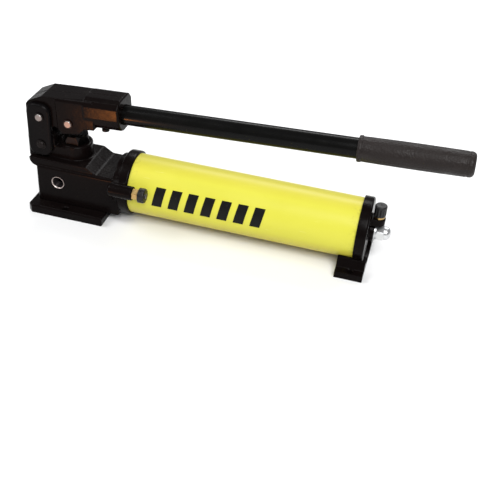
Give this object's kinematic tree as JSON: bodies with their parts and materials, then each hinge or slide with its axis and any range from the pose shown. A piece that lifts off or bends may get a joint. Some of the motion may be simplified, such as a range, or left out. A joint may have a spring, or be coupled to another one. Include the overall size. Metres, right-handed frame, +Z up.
{
  "type": "hydraulic hand pump",
  "caption": "Lever-operated hydraulic hand pump: cast head on a foot, tubular reservoir, swinging links, fork beam and long handle with a rubber grip.",
  "frame": {"origin": "centre of the rectangle of four base mounting holes, on the plane the pump stands on", "axes": "+X from the pump head towards the grip, along the reservoir; +Z up; +Y to the side away from the outlet port"},
  "size_m": [0.5551, 0.1075, 0.1783],
  "materials": {
    "black_casting": "semi-gloss black enamel over a casting",
    "black_links": "black oxide and paint",
    "black_gloss": "gloss black enamel",
    "yellow_paint": "gloss yellow enamel",
    "mark_black": "printed black bars",
    "grip_rubber": "matte dark rubber",
    "seal_rubber": "nitrile rubber",
    "knob_plastic": "moulded black plastic",
    "bright_steel": "ground steel",
    "zinc_steel": "zinc plated",
    "dark_steel": "blackened steel",
    "plunger_chrome": "hard chrome",
    "brass": "machined brass"
  },
  "bodies": {
    "pump_body": {"pump_head": "black_casting", "front_foot": "black_casting", "front_foot_screws": "dark_steel", "reservoir_tube": "yellow_paint", "reservoir_mark": "mark_black", "rear_cap": "black_casting", "rear_foot": "black_casting", "rear_foot_screws": "dark_steel", "tie_rod": "bright_steel", "tie_rod_washer": "zinc_steel", "tie_rod_nut": "zinc_steel", "front_tube_seal": "seal_rubber", "rear_tube_seal": "seal_rubber", "suction_tube": "bright_steel", "suction_strainer": "brass", "filler_neck": "brass", "filler_gasket": "seal_rubber", "plunger_packing": "seal_rubber", "plunger_gland_nut": "dark_steel", "plunger_wiper": "seal_rubber", "outlet_port_bush": "bright_steel", "outlet_valve_seat": "bright_steel", "outlet_valve_spring": "bright_steel", "outlet_valve_plug": "dark_steel", "intake_valve_seat": "bright_steel", "relief_valve_ball": "bright_steel", "relief_valve_spring": "bright_steel", "relief_valve_screw": "dark_steel", "release_valve_gland": "brass", "release_valve_seal": "seal_rubber", "lower_link_pin": "dark_steel", "lower_pin_clips": "dark_steel"},
    "links": {"link_near": "black_links", "link_far": "black_links"},
    "handle": {"handle_beam": "black_casting", "handle_tube": "black_gloss", "handle_grip": "grip_rubber", "handle_set_screw": "dark_steel", "upper_link_pin": "bright_steel", "upper_pin_clips": "dark_steel", "plunger_pin": "bright_steel", "plunger_pin_clips": "dark_steel"},
    "plunger": {"plunger": "plunger_chrome"},
    "release_valve": {"release_valve_knob": "knob_plastic", "release_valve_stem": "bright_steel", "release_knob_pin": "bright_steel"},
    "filler_cap": {"filler_cap": "knob_plastic"},
    "intake_ball": {"intake_check_ball": "bright_steel"},
    "outlet_ball": {"outlet_check_ball": "bright_steel"}
  },
  "joints": [
    {"name": "link_swing", "type": "hinge", "parent": "pump_body", "child": "links", "pos_m": [-0.2252, 0, 0.092], "axis": [0, 1, 0], "range_deg": [0, 6.18]},
    {"name": "handle_lift", "type": "hinge", "parent": "links", "child": "handle", "pos_m": [-0.2252, 0, 0.1304], "axis": [0, -1, 0], "range_deg": [0, 42]},
    {"name": "plunger_stroke", "type": "slide", "parent": "pump_body", "child": "plunger", "axis": [0, 0, 1], "range_m": [0, 0.02212]},
    {"name": "release_valve_turn", "type": "hinge", "parent": "pump_body", "child": "release_valve", "pos_m": [-0.0804, -0.048, 0.06], "axis": [1, 0, 0], "range_deg": [0, 360]},
    {"name": "filler_cap_turn", "type": "hinge", "parent": "pump_body", "child": "filler_cap", "pos_m": [0.2115, -0.004, 0.08], "axis": [0, 0, 1], "range_deg": [0, 180]},
    {"name": "intake_ball_lift", "type": "slide", "parent": "pump_body", "child": "intake_ball", "axis": [0, 0, 1], "range_m": [0, 0.0008]},
    {"name": "outlet_ball_lift", "type": "slide", "parent": "pump_body", "child": "outlet_ball", "axis": [-1, 0, 0], "range_m": [0, 0.0008], "stiffness_N_per_m": 150, "deforming": ["outlet_valve_spring"]}
  ],
  "couplings": [
    {"joint": "link_swing", "follows": "handle_lift", "ratio": 0.146},
    {"joint": "plunger_stroke", "follows": "handle_lift", "m_per_rad": 0.03004}
  ]
}
